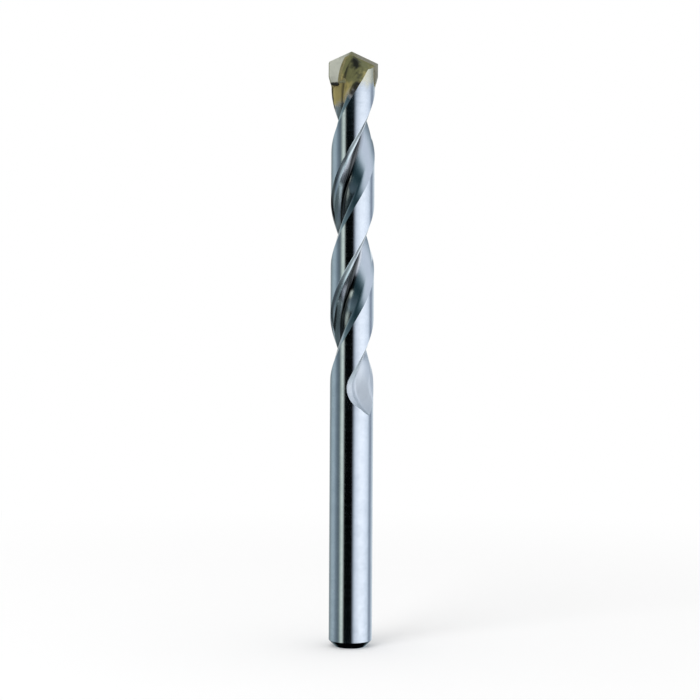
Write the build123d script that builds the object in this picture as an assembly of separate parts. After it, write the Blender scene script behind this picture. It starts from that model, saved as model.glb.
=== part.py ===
from build123d import *
import os
from math import ceil, cos, radians, sin, sqrt, tan

# Masonry drill bit, standing on its shank end with the point up, in millimetres.
# Z runs along the axis from the shank end; the cutting edges lie along X.

# Overall sizes
OVERALL_LENGTH = 120.0
DRILL_DIAMETER = 10.0
SHANK_RADIUS = 4.4
SHANK_LENGTH = 46.0
SHANK_CHAMFER = 1.3
HEAD_RADIUS = 4.42

# Helix, right-handed: a leading edge lies along X at EDGE_LEVEL
LEAD = 46.2
EDGE_LEVEL = 112.8
DEGREES_PER_MM = 360 / LEAD

# Flute cross-section, with the leading edge of the land at angle 0
BEVEL_RADIUS = 2.5
BEVEL_START_ANGLE = 32
BEVEL_END_ANGLE = 60
WALL_ANGLE = 92
FLOOR_ANGLE = 30
ROOT_RADIUS = 0.9
SHOULDER_RADIUS = 1.2
SHOULDER_DISTANCE = 3.7
SHOULDER_POSITION = 88.5
HEEL_POSITION = 106.4
CUTTER_MARGIN = 1.6

# Run-out, where the turning stops and the wheel lifts out of the steel
TURN_SLOWS_AT = 55.0
TURN_STOPS_AT = 51.0
LIFT_STARTS_AT = 53.8
LIFT_WHEEL_RADIUS = 9.35
LIFT_DIRECTION = 95
CUTTER_BOTTOM = 45.2
CUTTER_STEP = 1.25

# Carbide plate, brazed into a slot across the head
PLATE_THICKNESS = 2.4
PLATE_BOTTOM = 113.7
PLATE_TAPER_LEVEL = 115.1
PLATE_BOTTOM_RADIUS = 4.65
POINT_ANGLE = 130
PLATE_RELIEF = 22
BRAZE_GAP = 0.1

# Steel roof behind the cutting edges
ROOF_RELIEF = 40
ROOF_RECESS = 0.4
CREST_RECESS = 0.35

# Gash in front of each cutting edge, swept by a wheel along a tall arc
GASH_START = -3.1
GASH_ARC_RADIUS = 10.4
GASH_CORNER_RADIUS = 1.8
GASH_REACH = 9.0
GASH_DIP = 4
GASH_TURN = 50

# Fillet of brazing alloy under each overhanging end of the plate
FILLET_DROP = 0.8
FILLET_INNER_RADIUS = 4.0
FILLET_OUTER_RADIUS = 4.6

HALF_PLATE = PLATE_THICKNESS / 2
EDGE_SLOPE = 90 - POINT_ANGLE / 2


def on_circle(radius, angle):
    return Vector(radius * cos(radians(angle)), radius * sin(radians(angle)))


def along(angle):
    """Unit vector that runs round the section, square to the normal at this angle."""
    return Vector(-sin(radians(angle)), cos(radians(angle)))


def meeting_point(start, direction, other, other_direction):
    """Where two lines of the section cross."""
    gap = other - start
    cross = direction.X * other_direction.Y - direction.Y * other_direction.X
    step = (gap.X * other_direction.Y - gap.Y * other_direction.X) / cross
    return start + direction * step


def rounded(before, corner, after, radius):
    """Tangent points and middle of the arc that rounds a corner."""
    back = (before - corner).normalized()
    ahead = (after - corner).normalized()
    half_turn = radians(back.get_angle(ahead) / 2)
    reach = radius / tan(half_turn)
    inward = (back + ahead).normalized()
    middle = corner + inward * (radius / sin(half_turn) - radius)
    return corner + back * reach, middle, corner + ahead * reach


def flute_section():
    """What the wheel removes: rounded bevel, steep wall, root, floor, shoulder and heel.

    Angles of the section are those of its outward normals.
    """
    edge = on_circle(SHANK_RADIUS, 0)
    bevel_centre = edge - on_circle(BEVEL_RADIUS, BEVEL_START_ANGLE)
    bevel_end = bevel_centre + on_circle(BEVEL_RADIUS, BEVEL_END_ANGLE)
    above_edge = bevel_centre + on_circle(BEVEL_RADIUS, 0)

    shoulder = on_circle(SHOULDER_DISTANCE, SHOULDER_POSITION)
    heel = on_circle(SHANK_RADIUS, HEEL_POSITION)
    above_heel = heel + (heel - shoulder).normalized() * CUTTER_MARGIN
    root = meeting_point(bevel_end, along(WALL_ANGLE), shoulder, along(FLOOR_ANGLE))

    root_start, root_middle, root_end = rounded(bevel_end, root, shoulder, ROOT_RADIUS)
    turn_start, turn_middle, turn_end = rounded(root, shoulder, heel, SHOULDER_RADIUS)
    outside = on_circle(SHANK_RADIUS + CUTTER_MARGIN, HEEL_POSITION / 2)
    edges = [
        ThreePointArc(above_edge, edge, bevel_end),
        Line(bevel_end, root_start),
        ThreePointArc(root_start, root_middle, root_end),
        Line(root_end, turn_start),
        ThreePointArc(turn_start, turn_middle, turn_end),
        Line(turn_end, above_heel),
        ThreePointArc(above_heel, outside, above_edge),
    ]
    return make_face(Curve() + edges)


def edge_angle(height):
    """Direction of the leading edge; below TURN_SLOWS_AT the bit's turning dies away."""
    if height >= TURN_SLOWS_AT:
        return (height - EDGE_LEVEL) * DEGREES_PER_MM
    span = TURN_SLOWS_AT - TURN_STOPS_AT
    share = min((TURN_SLOWS_AT - height) / span, 1)
    turned = DEGREES_PER_MM * span * (share - share**2 / 2)
    return (TURN_SLOWS_AT - EDGE_LEVEL) * DEGREES_PER_MM - turned


def wheel_lift(height):
    """How far the wheel's rim stands off its full depth."""
    below = max(LIFT_STARTS_AT - height, 0)
    return LIFT_WHEEL_RADIUS - sqrt(LIFT_WHEEL_RADIUS**2 - below**2)


def flute_cutter():
    section = flute_section()
    steps = ceil((OVERALL_LENGTH - CUTTER_BOTTOM) / CUTTER_STEP) + 1
    placed = []
    for step in range(steps + 1):
        height = CUTTER_BOTTOM + step * CUTTER_STEP
        lift = on_circle(wheel_lift(height), LIFT_DIRECTION)
        placed.append(Pos(0, 0, height) * Rot(0, 0, edge_angle(height)) * Pos(lift) * section)
    return loft(placed)


def half_turned(shape):
    return Rot(0, 0, 180) * shape


def above_plane(origin, normal):
    """A block that fills everything above an inclined plane near the point."""
    block = Box(40, 40, 20, align=(Align.CENTER, Align.CENTER, Align.MIN))
    return Plane(origin=origin, z_dir=normal) * block


def roof_normal(side, relief):
    """Upward normal of a plane falling outward along X and forward, towards -Y."""
    return (side * tan(radians(EDGE_SLOPE)), -tan(radians(relief)), 1)


def steel_roof():
    """Everything above the ground faces of the head, on both sides of the plate."""
    fall = HALF_PLATE * tan(radians(PLATE_RELIEF))
    behind = above_plane(
        (0, -HALF_PLATE, OVERALL_LENGTH - fall - ROOF_RECESS), roof_normal(1, ROOF_RELIEF)
    )
    ahead = above_plane((0, -HALF_PLATE, OVERALL_LENGTH - CREST_RECESS), roof_normal(-1, ROOF_RELIEF))
    front = behind + ahead
    return front + half_turned(front)


def gash_cutter():
    """Clears the steel in front of the left cutting edge, flush with the plate's face.

    It starts a little below the plate, which leaves a strip of bare steel under it.
    """
    corner = GASH_START + GASH_CORNER_RADIUS
    outline = [
        Line((-GASH_REACH, -HALF_PLATE), (GASH_START, -HALF_PLATE)),
        RadiusArc((GASH_START, -HALF_PLATE), (corner, -HALF_PLATE - GASH_CORNER_RADIUS), GASH_CORNER_RADIUS),
        Line((corner, -HALF_PLATE - GASH_CORNER_RADIUS), (corner, -GASH_REACH)),
        Line((corner, -GASH_REACH), (-GASH_REACH, -GASH_REACH)),
        Line((-GASH_REACH, -GASH_REACH), (-GASH_REACH, -HALF_PLATE)),
    ]
    wheel_axis = Axis((GASH_START + GASH_ARC_RADIUS, 0, PLATE_BOTTOM), (0, 1, 0))
    profile = Pos(0, 0, PLATE_BOTTOM) * make_face(Curve() + outline)
    dipped = profile.rotate(wheel_axis, -GASH_DIP)
    return revolve(dipped, wheel_axis, GASH_DIP + GASH_TURN)


def slot_block(gap):
    return Pos(0, 0, PLATE_BOTTOM - gap) * Box(
        2 * DRILL_DIAMETER,
        PLATE_THICKNESS + 2 * gap,
        DRILL_DIAMETER,
        align=(Align.CENTER, Align.CENTER, Align.MIN),
    )


def ground_bar():
    """Parallel shank with a chamfered end, and a body with the slight back taper of a drill."""
    upright = (Align.CENTER, Align.CENTER, Align.MIN)
    shank = Cylinder(SHANK_RADIUS, SHANK_LENGTH, align=upright)
    shank = chamfer(shank.edges().group_by(Axis.Z)[0], SHANK_CHAMFER)
    body = Cone(SHANK_RADIUS, HEAD_RADIUS, OVERALL_LENGTH - SHANK_LENGTH, align=upright)
    return shank + Pos(0, 0, SHANK_LENGTH) * body


def fluted_blank():
    """The bar with both flutes, the ground roof and the gashes, before slotting."""
    bar = ground_bar()
    flute = flute_cutter()
    gash = gash_cutter()
    bar = bar - flute - half_turned(flute)
    bar = bar - steel_roof()
    return bar - gash - half_turned(gash)


def carbide_tip():
    """Plate ground to the drill diameter and to two relieved roof faces."""
    envelope = Polyline(
        (0, PLATE_BOTTOM),
        (PLATE_BOTTOM_RADIUS, PLATE_BOTTOM),
        (DRILL_DIAMETER / 2, PLATE_TAPER_LEVEL),
        (DRILL_DIAMETER / 2, OVERALL_LENGTH + 1),
        (0, OVERALL_LENGTH + 1),
        close=True,
    )
    ground = revolve(Plane.XZ * make_face(envelope), Axis.Z)
    plate = ground & slot_block(0)
    relief = above_plane((0, 0, OVERALL_LENGTH), roof_normal(1, PLATE_RELIEF))
    return plate - relief - half_turned(relief)


def braze_joint(blank):
    """Brazing alloy in the gap round the plate, with a fillet under each of its ends."""
    layer = (blank & slot_block(BRAZE_GAP)) - slot_block(0)
    outline = Polyline(
        (FILLET_INNER_RADIUS, PLATE_BOTTOM),
        (FILLET_OUTER_RADIUS, PLATE_BOTTOM),
        (HEAD_RADIUS, PLATE_BOTTOM - FILLET_DROP),
        (FILLET_INNER_RADIUS, PLATE_BOTTOM - FILLET_DROP),
        close=True,
    )
    ring = revolve(Plane.XZ * make_face(outline), Axis.Z)
    ends = ring & Pos(0, 0, PLATE_BOTTOM) * Box(2 * DRILL_DIAMETER, PLATE_THICKNESS, 4 * FILLET_DROP)
    return layer + (ends - blank)


def write(node, shape):
    solids = shape.solids()
    if len(solids) != 1:
        print(node, "has", len(solids), "solids:", [round(s.volume, 3) for s in solids])
    export_step(shape, f"parts/{node}.step")


def main():
    os.makedirs("parts", exist_ok=True)
    blank = fluted_blank()
    write("bit_body", blank - slot_block(BRAZE_GAP))
    write("carbide_tip", carbide_tip())
    write("braze_joint", braze_joint(blank))


main()
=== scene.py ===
import math

import bmesh
import bpy
import numpy as np
from mathutils import Matrix, Vector


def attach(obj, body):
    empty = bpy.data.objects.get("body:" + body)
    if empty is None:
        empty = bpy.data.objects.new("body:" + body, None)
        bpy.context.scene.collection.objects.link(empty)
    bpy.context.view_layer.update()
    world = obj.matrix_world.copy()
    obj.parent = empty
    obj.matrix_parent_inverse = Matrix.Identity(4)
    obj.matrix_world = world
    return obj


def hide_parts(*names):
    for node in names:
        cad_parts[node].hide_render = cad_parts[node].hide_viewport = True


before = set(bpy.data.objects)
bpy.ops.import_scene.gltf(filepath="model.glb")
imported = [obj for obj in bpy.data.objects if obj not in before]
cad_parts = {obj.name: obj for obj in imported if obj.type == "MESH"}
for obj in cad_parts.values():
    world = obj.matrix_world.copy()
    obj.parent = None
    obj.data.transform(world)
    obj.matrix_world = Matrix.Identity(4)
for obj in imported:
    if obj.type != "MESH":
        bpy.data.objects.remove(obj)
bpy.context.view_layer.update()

bl_info = {
    "name": "Masonry Drill Bit",
    "version": (1, 0, 0),
    "blender": (4, 5, 0),
    "location": "3D View > Sidebar > Drill Bit",
    "description": "Gives a packed masonry drill bit its surfaces and sets up a studio round it",
    "category": "Object",
}

# Lengths in this file are in metres; MM turns millimetres into metres
MM = 0.001

# Shape of the fluted steel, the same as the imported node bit_body
LENGTH = 120 * MM
SHANK_RADIUS = 4.4 * MM
SHANK_LENGTH = 46 * MM
SHANK_CHAMFER = 1.3 * MM
HEAD_RADIUS = 4.42 * MM
TURN_PER_METRE = 2 * math.pi / (46.2 * MM)
EDGE_LEVEL = 112.8 * MM

# Flute section, with the leading edge of the land at angle 0; angles are those of its normals
BEVEL_RADIUS = 2.5 * MM
BEVEL_START = math.radians(32)
BEVEL_END = math.radians(60)
WALL_ANGLE = math.radians(92)
FLOOR_ANGLE = math.radians(30)
ROOT_RADIUS = 0.9 * MM
SHOULDER_RADIUS = 1.2 * MM
SHOULDER_DISTANCE = 3.7 * MM
SHOULDER_POSITION = math.radians(88.5)
HEEL_POSITION = math.radians(106.4)
HEEL_REACH = 1.6 * MM

# Run-out of the flutes into the shank
TURN_SLOWS_AT = 55 * MM
TURN_STOPS_AT = 51 * MM
LIFT_STARTS_AT = 53.8 * MM
LIFT_WHEEL_RADIUS = 9.35 * MM
LIFT_DIRECTION = math.radians(95)
RUN_OUT_BOTTOM = 45.2 * MM

# Head: plate slot, ground roof and gashes
HALF_PLATE = 1.2 * MM
PLATE_BOTTOM = 113.7 * MM
EDGE_SLOPE = math.tan(math.radians(25))
PLATE_RELIEF = math.tan(math.radians(22))
ROOF_RELIEF = math.tan(math.radians(40))
ROOF_RECESS = 0.4 * MM
CREST_RECESS = 0.35 * MM
BRAZE_GAP = 0.1 * MM
GASH_START = -3.1 * MM
GASH_ARC_RADIUS = 10.4 * MM
GASH_CORNER_RADIUS = 1.8 * MM
GASH_REACH = 9 * MM
GASH_DIP = math.radians(4)
GASH_TURN = math.radians(50)

# Carbide plate, ground to the drill's diameter
PLATE_RADIUS = 5 * MM
PLATE_TAPER_LEVEL = 115.1 * MM
PLATE_BOTTOM_RADIUS = 4.65 * MM
PLATE_BLANK_TOP = LENGTH + 1 * MM


def colour(code):
    """Linear colour of an sRGB hex value."""
    channels = [int(code[i : i + 2], 16) / 255 for i in (1, 3, 5)]
    return tuple(c / 12.92 if c <= 0.04045 else ((c + 0.055) / 1.055) ** 2.4 for c in channels)


def fill(node, inputs):
    """Sets a node's sockets to values, or links them to the outputs that feed them.

    The inputs map sockets' names or numbers to these, or are a list for the first sockets in order.
    """
    for name, value in inputs.items() if isinstance(inputs, dict) else enumerate(inputs):
        socket = node.inputs[name]
        if isinstance(value, bpy.types.NodeSocket):
            node.id_data.links.new(value, socket)
        elif socket.type == "RGBA":
            socket.default_value = (*value, 1)
        else:
            socket.default_value = value


def add(tree, kind, inputs=(), output=None, stops=(), **settings):
    """Adds one shader node and gives its output: the one named, or else the first in use.

    The stops are a colour ramp's, each a place and an sRGB hex value.
    """
    node = tree.nodes.new("ShaderNode" + kind)
    for name, value in settings.items():
        setattr(node, name, value)
    fill(node, inputs)
    for number, (place, code) in enumerate(stops):
        elements = node.color_ramp.elements
        element = elements[number] if number < len(elements) else elements.new(1)
        element.position = place
        element.color = (*colour(code), 1)
    return node.outputs[output] if output else next(way for way in node.outputs if way.enabled)


# Setting of a MapRange node whose change is eased at both ends
SMOOTH = {"interpolation_type": "SMOOTHSTEP"}


def new_material(name):
    """A material, its nodes, its shader, and the place of each spot on the surface."""
    material = bpy.data.materials.new(name)
    material.use_nodes = True
    tree = material.node_tree
    return material, tree, tree.nodes["Principled BSDF"], add(tree, "TexCoord", output="Object")


def surface(draw, look):
    """Material named for the function that adds its nodes and says what feeds its shader."""
    material, tree, shader, place = new_material(draw.__name__)
    fill(shader, draw(tree, place, look))
    return material


def placed(name, data):
    """New object at the origin of the scene."""
    made = bpy.data.objects.new(name, data)
    bpy.context.scene.collection.objects.link(made)
    return made


def placed_mesh(name, mesh):
    data = bpy.data.meshes.new(name)
    mesh.to_mesh(data)
    mesh.free()
    return placed(name, data)


def skinned(rings):
    """Closed mesh from rings of points: faces between the rings in order, then one across each end."""
    mesh = bmesh.new()
    rings = [[mesh.verts.new(point) for point in ring] for ring in rings]
    for low, high in zip(rings, rings[1:]):
        for i in range(len(low)):
            j = (i + 1) % len(low)
            mesh.faces.new((low[i], low[j], high[j], high[i]))
    mesh.faces.new(reversed(rings[0]))
    mesh.faces.new(rings[-1])
    return mesh


# Fluted steel


def unit(angle):
    return np.array([math.cos(angle), math.sin(angle)])


def way_of(vector):
    return vector / np.hypot(*vector)


def rounded_corner(before, corner, after, radius):
    """Tangent points and centre of the arc that rounds a corner."""
    back, ahead = way_of(before - corner), way_of(after - corner)
    half = math.acos(np.clip(back @ ahead, -1, 1)) / 2
    middle = way_of(back + ahead)
    reach = radius / math.tan(half)
    return corner + back * reach, corner + ahead * reach, corner + middle * radius / math.sin(half)


def crossing(start, direction, other, other_direction):
    """Where two lines of the section cross."""
    along = np.linalg.solve(np.column_stack([direction, -other_direction]), other - start)
    return start + direction * along[0]


def spread(start, end, count):
    """Points on a straight run of the section."""
    return start + (end - start) * np.linspace(0, 1, count)[:, None]


def arc(centre, radius, start, end, count):
    """Points on an arc from one angle to another."""
    angles = np.linspace(start, end, count)
    return centre + radius * np.column_stack([np.cos(angles), np.sin(angles)])


def turn_of(vector):
    return math.atan2(vector[1], vector[0])


# Points on the runs of the section
BEVEL_POINTS, WALL_POINTS, ROOT_POINTS, FLOOR_POINTS, SHOULDER_POINTS, HEEL_POINTS = 22, 9, 11, 13, 9, 13


def flute_runs():
    """The section's runs in order.

    Each is its points, an arc's centre, +1 for convex steel and -1 for concave, and the normal
    of a straight run.
    """
    edge = SHANK_RADIUS * unit(0)
    bevel_centre = edge - BEVEL_RADIUS * unit(BEVEL_START)
    bevel_end = bevel_centre + BEVEL_RADIUS * unit(BEVEL_END)
    shoulder = SHOULDER_DISTANCE * unit(SHOULDER_POSITION)
    heel = SHANK_RADIUS * unit(HEEL_POSITION)
    quarter = math.pi / 2
    root = crossing(bevel_end, unit(WALL_ANGLE + quarter), shoulder, unit(FLOOR_ANGLE + quarter))
    root_start, root_end, root_centre = rounded_corner(bevel_end, root, shoulder, ROOT_RADIUS)
    turn_start, turn_end, turn_centre = rounded_corner(root, shoulder, heel, SHOULDER_RADIUS)
    heel_way = way_of(heel - shoulder)
    heel_end = heel + heel_way * HEEL_REACH
    heel_normal = np.array([heel_way[1], -heel_way[0]])
    if heel_normal @ (turn_end - turn_centre) < 0:
        heel_normal = -heel_normal
    root_from, root_to = [turn_of(end - root_centre) % (2 * math.pi) for end in (root_start, root_end)]
    turn_from, turn_to = [turn_of(end - turn_centre) for end in (turn_start, turn_end)]
    return [
        (arc(bevel_centre, BEVEL_RADIUS, 0, BEVEL_END, BEVEL_POINTS), bevel_centre, 1, None),
        (spread(bevel_end, root_start, WALL_POINTS), None, 1, unit(WALL_ANGLE)),
        (arc(root_centre, ROOT_RADIUS, root_from, root_to, ROOT_POINTS), root_centre, -1, None),
        (spread(root_end, turn_start, FLOOR_POINTS), None, 1, unit(FLOOR_ANGLE)),
        (arc(turn_centre, SHOULDER_RADIUS, turn_from, turn_to, SHOULDER_POINTS), turn_centre, 1, None),
        (spread(turn_end, heel_end, HEEL_POINTS), None, 1, heel_normal),
    ]


RUNS = flute_runs()


def edge_turn(z):
    """Angle of the leading edge at a height, and how fast it turns with height."""
    if z >= TURN_SLOWS_AT:
        return (z - EDGE_LEVEL) * TURN_PER_METRE, TURN_PER_METRE
    span = TURN_SLOWS_AT - TURN_STOPS_AT
    share = min((TURN_SLOWS_AT - z) / span, 1)
    turned = TURN_PER_METRE * span * (share - share**2 / 2)
    return (TURN_SLOWS_AT - EDGE_LEVEL) * TURN_PER_METRE - turned, TURN_PER_METRE * (1 - share)


def wheel_lift(z):
    """How far the section stands off its full depth at a height, and its slope with height."""
    below = min(max(LIFT_STARTS_AT - z, 0), LIFT_STARTS_AT - RUN_OUT_BOTTOM)
    upright = math.sqrt(LIFT_WHEEL_RADIUS**2 - below**2)
    return LIFT_WHEEL_RADIUS - upright, -below / upright


def outer_radius(z):
    share = max(z - SHANK_LENGTH, 0) / (LENGTH - SHANK_LENGTH)
    return SHANK_RADIUS + (HEAD_RADIUS - SHANK_RADIUS) * share


def flute_ring(z):
    """The part of the section inside the bar at a height, in the section's own directions.

    Points outside the bar gather on the edge where the section enters or leaves it.
    """
    lift = wheel_lift(z)[0] * unit(LIFT_DIRECTION)
    points = np.concatenate([run[0] if i == 0 else run[0][1:] for i, run in enumerate(RUNS)]) + lift
    radius = outer_radius(z)
    distance = np.hypot(*points.T)
    inside = np.flatnonzero(distance < radius)
    if not len(inside):
        nearest = points[np.argmin(distance)]
        return np.tile(way_of(nearest) * radius, (len(points), 1))
    first, last = inside[0], inside[-1]
    ends = []
    for inner, outer in ((first, first - 1), (last, last + 1)):
        share = (radius - distance[inner]) / (distance[outer] - distance[inner])
        point = points[inner] + (points[outer] - points[inner]) * share
        ends.append(way_of(point) * radius)
    points[:first] = ends[0]
    points[last + 1 :] = ends[1]
    return points


def rotated(points, angle):
    c, s = math.cos(angle), math.sin(angle)
    return points @ np.array([[c, s], [-s, c]])


SHANK_RINGS = 12
RUN_OUT_RINGS = 84
HELIX_RINGS = 186
LAND_STEPS = 30


def bar_levels():
    """Heights of the rings, close together where the flutes run out."""
    shank = np.linspace(SHANK_CHAMFER, RUN_OUT_BOTTOM, SHANK_RINGS)
    run_out = np.linspace(RUN_OUT_BOTTOM, TURN_SLOWS_AT, RUN_OUT_RINGS)
    helix = np.linspace(TURN_SLOWS_AT, LENGTH, HELIX_RINGS)
    return np.concatenate([shank, run_out[1:], helix[1:]])


def bar_ring(z, flute, turn, radius):
    """One closed ring of points: flute, land, flute, land."""
    half = rotated(flute, turn)
    heel = turn_of(half[-1])
    edge = turn_of(half[0]) + math.pi
    span = (edge - heel) % (2 * math.pi)
    angles = heel + span * np.arange(1, LAND_STEPS) / LAND_STEPS
    land = radius * np.column_stack([np.cos(angles), np.sin(angles)])
    ring = np.concatenate([half, land])
    ring = np.concatenate([ring, -ring])
    return np.column_stack([ring, np.full(len(ring), z)])


# Material slots of the steel's faces
LAND_FACE, FLUTE_FACE, HEAD_FACE = 0, 1, 2

# Radius and height of the chamfer's two rims, the upper one eased
CHAMFER = [
    (SHANK_RADIUS - SHANK_CHAMFER, 0),
    (SHANK_RADIUS - 0.04 * MM, SHANK_CHAMFER - 0.06 * MM),
]
MERGE_GAP = 0.0002 * MM


def fluted_bar():
    """Bar with both flutes as one closed mesh, its faces marked as land, flute or head."""
    rings = []
    gathered = None
    for z in reversed(bar_levels()):
        flute = flute_ring(z)
        if np.ptp(flute, axis=0).max() > 0:
            gathered = flute.mean(axis=0)
        else:
            flute = np.tile(way_of(gathered) * SHANK_RADIUS, (len(flute), 1))
        rings.insert(0, bar_ring(z, flute, edge_turn(z)[0], outer_radius(z)))
    foot = rings[0]
    for radius, z in reversed(CHAMFER):
        ring = foot * (radius / SHANK_RADIUS)
        ring[:, 2] = z
        rings.insert(0, ring)
    mesh = skinned(rings)
    half_ring = len(foot) // 2
    faces = list(mesh.faces)
    for number, face in enumerate(faces):
        in_flute = number % half_ring < half_ring - LAND_STEPS
        face.material_index = FLUTE_FACE if in_flute else LAND_FACE
    faces[-2].material_index = LAND_FACE
    faces[-1].material_index = HEAD_FACE
    bmesh.ops.remove_doubles(mesh, verts=mesh.verts, dist=MERGE_GAP)
    return mesh


def cutter(name, rings):
    """Closed mesh that a Boolean modifier takes away from the head."""
    mesh = skinned(rings)
    for face in mesh.faces:
        face.material_index = HEAD_FACE
    bmesh.ops.recalc_face_normals(mesh, faces=mesh.faces)
    tool = placed_mesh(name, mesh)
    while len(tool.data.materials) <= HEAD_FACE:
        tool.data.materials.append(None)
    return tool


def block(name, low, high, place=Matrix.Identity(4)):
    corners = ((low[0], low[1]), (high[0], low[1]), (high[0], high[1]), (low[0], high[1]))
    return cutter(name, [[place @ Vector((x, y, z)) for x, y in corners] for z in (low[2], high[2])])


def above_plane(name, origin, normal):
    """A block that fills everything above an inclined plane near the point."""
    place = Matrix.Translation(origin) @ Vector(normal).to_track_quat("Z", "Y").to_matrix().to_4x4()
    reach = 4 * PLATE_RADIUS
    return block(name, (-reach, -reach, 0), (reach, reach, reach), place)


def roof_cutters():
    cutters = []
    for half in (1, -1):
        behind = LENGTH - HALF_PLATE * PLATE_RELIEF - ROOF_RECESS
        for label, side, height in (("behind", 1, behind), ("ahead", -1, LENGTH - CREST_RECESS)):
            origin = (0, -half * HALF_PLATE, height)
            normal = (half * side * EDGE_SLOPE, -half * ROOF_RELIEF, 1)
            cutters.append(above_plane(f"roof_{label}_{half}", origin, normal))
    return cutters


GASH_STEPS = 40
GASH_CORNER_POINTS = 15


def gash_cutter(half):
    """Wheel sweep in front of a cutting edge, flush with the plate's face."""
    corner = GASH_START + GASH_CORNER_RADIUS
    middle = np.array([GASH_START, -HALF_PLATE - GASH_CORNER_RADIUS])
    fillet = arc(middle, GASH_CORNER_RADIUS, math.pi / 2, 0, GASH_CORNER_POINTS)
    outline = [(-GASH_REACH, -HALF_PLATE), *fillet, (corner, -GASH_REACH), (-GASH_REACH, -GASH_REACH)]
    axis_x = GASH_START + GASH_ARC_RADIUS
    rings = []
    for step in range(GASH_STEPS + 1):
        turn = -GASH_DIP + (GASH_DIP + GASH_TURN) * step / GASH_STEPS
        ring = []
        for x, y in outline:
            reach = axis_x - x
            z = PLATE_BOTTOM + reach * math.sin(turn)
            ring.append((half * (axis_x - reach * math.cos(turn)), half * y, z))
        rings.append(ring)
    return cutter(f"gash_{half}", rings)


def cut(target, cutters):
    """Takes the cutters away from the object's mesh for good."""
    for tool in cutters:
        change = target.modifiers.new(tool.name, "BOOLEAN")
        change.operation = "DIFFERENCE"
        change.solver = "EXACT"
        change.object = tool
    bpy.context.view_layer.update()
    made = bpy.data.meshes.new_from_object(target.evaluated_get(bpy.context.evaluated_depsgraph_get()))
    target.modifiers.clear()
    old = target.data
    target.data = made
    bpy.data.meshes.remove(old)
    for tool in cutters:
        data = tool.data
        bpy.data.objects.remove(tool)
        bpy.data.meshes.remove(data)


def in_section(x, y, z, flipped):
    """A place in the section's own directions, the wheel's lift taken off."""
    turn = edge_turn(z)[0] + (math.pi if flipped else 0)
    c, s = math.cos(turn), math.sin(turn)
    lift = wheel_lift(z)[0] * unit(LIFT_DIRECTION)
    return np.array([c * x + s * y, -s * x + c * y]) - lift


def flute_normal(place, run, flipped):
    """Exact normal of the swept flute at a place on one of its runs."""
    x, y, z = place
    turn, rate = edge_turn(z)
    lift, slope = wheel_lift(z)
    way = unit(LIFT_DIRECTION)
    point = in_section(x, y, z, flipped)
    centre, side, normal = RUNS[run][1:]
    if normal is None:
        normal = side * way_of(point - centre)
    whole = point + lift * way
    rise = -(rate * (normal[1] * whole[0] - normal[0] * whole[1]) + slope * (normal @ way))
    turn += math.pi if flipped else 0
    c, s = math.cos(turn), math.sin(turn)
    found = Vector((c * normal[0] - s * normal[1], s * normal[0] + c * normal[1], rise))
    return found.normalized()


def nearest_on_section(places):
    """The run that each place is nearest to, and the section's length from the leading edge to there."""
    starts = np.concatenate([run[0][:-1] for run in RUNS])
    ways = np.concatenate([np.diff(run[0], axis=0) for run in RUNS])
    runs = np.repeat(np.arange(len(RUNS)), [len(run[0]) - 1 for run in RUNS])
    lengths = np.hypot(*ways.T)
    passed = np.cumsum(lengths) - lengths - BEVEL_RADIUS * BEVEL_START
    away = places[:, None] - starts
    along = np.clip((away * ways).sum(2) / lengths**2, 0, 1)
    gaps = np.linalg.norm(away - ways * along[:, :, None], axis=2)
    nearest = (np.arange(len(places)), np.argmin(gaps, axis=1))
    return runs[nearest[1]], passed[nearest[1]] + (along * lengths)[nearest]


def mark_places(data):
    """Keeps on each vertex how far it is from the edges of the lands, and how far across the flute."""
    ends = {}
    to_edge, in_flute = [], []
    for vertex in data.vertices:
        x, y, z = vertex.co
        # The points of one ring share their height to 0.01 mm
        z = round(z, 5)
        if z not in ends:
            ring = flute_ring(z)
            ends[z] = (ring[0], ring[-1])
        lift = wheel_lift(z)[0] * unit(LIFT_DIRECTION)
        places = [in_section(x, y, z, flipped) for flipped in (False, True)]
        to_edge.append(min(math.dist(spot + lift, end) for spot in places for end in ends[z]))
        in_flute.append(max(places, key=lambda spot: spot[1]))
    across = nearest_on_section(np.array(in_flute))[1]
    for name, values in (("edge_distance", to_edge), ("across_flute", across)):
        data.attributes.new(name, "FLOAT", "POINT").data.foreach_set("value", values)


SHARP_ANGLE = math.radians(24)

# The foot and its chamfer face down by more than this, and keep their own normals
LEAST_DOWN = 0.5


def exact_normals(data):
    """Shades the ground outside and the flutes by their true curvature, and the head by its facets."""
    data.polygons.foreach_set("use_smooth", [True] * len(data.polygons))
    data.set_sharp_from_angle(angle=SHARP_ANGLE)
    normals = np.empty(len(data.loops) * 3, np.float32)
    data.corner_normals.foreach_get("vector", normals)
    normals = normals.reshape(-1, 3)
    centres = [face.center for face in data.polygons]
    flipped = [in_section(*centre, False)[1] < 0 for centre in centres]
    spots = [in_section(*centre, flip) for centre, flip in zip(centres, flipped)]
    runs = nearest_on_section(np.array(spots))[0]
    for face in data.polygons:
        if face.material_index == HEAD_FACE or abs(face.normal.z) > LEAST_DOWN:
            continue
        for corner in face.loop_indices:
            place = data.vertices[data.loops[corner].vertex_index].co
            if face.material_index == FLUTE_FACE:
                normals[corner] = flute_normal(place, runs[face.index], flipped[face.index])
            else:
                normals[corner] = Vector((place.x, place.y, 0)).normalized()
    data.normals_split_custom_set(normals.tolist())


# Carbide plate

END_STEPS = 14


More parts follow.
